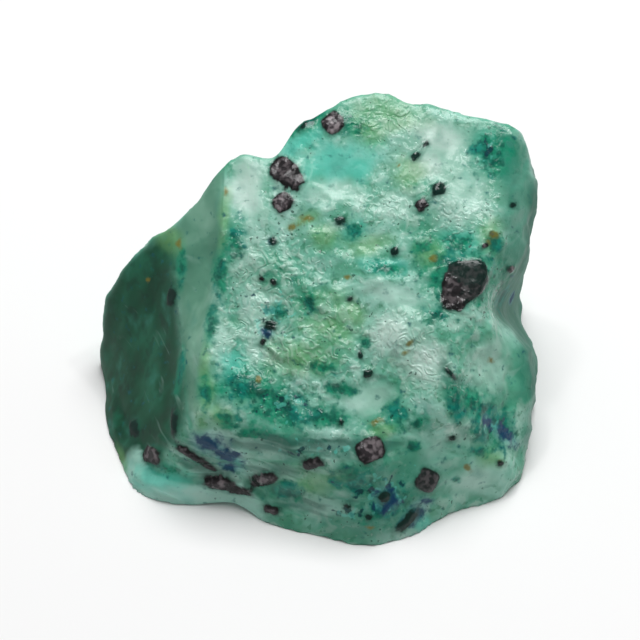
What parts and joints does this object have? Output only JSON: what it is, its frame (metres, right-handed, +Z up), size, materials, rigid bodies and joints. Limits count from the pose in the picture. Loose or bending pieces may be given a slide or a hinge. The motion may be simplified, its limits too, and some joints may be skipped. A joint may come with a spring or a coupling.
{
  "type": "rough phoenix stone",
  "caption": "Rough lump of blue-green phoenix stone: a sloping sugary face, smooth dark left face, low foot, lobed right side and flat underside.",
  "frame": {"origin": "middle of the stone's outline seen from above, at the level of its resting face", "axes": "+Z up; the sloping main face looks towards -Y and up; the smooth dark face is at -X"},
  "size_m": [0.0412, 0.0332, 0.0257],
  "materials": {
    "phoenix_stone": "broken, waxy to glassy, mottled mint, teal and turquoise with brown-black grains"
  },
  "bodies": {
    "root": {"phoenix_stone": "phoenix_stone"}
  },
  "joints": []
}
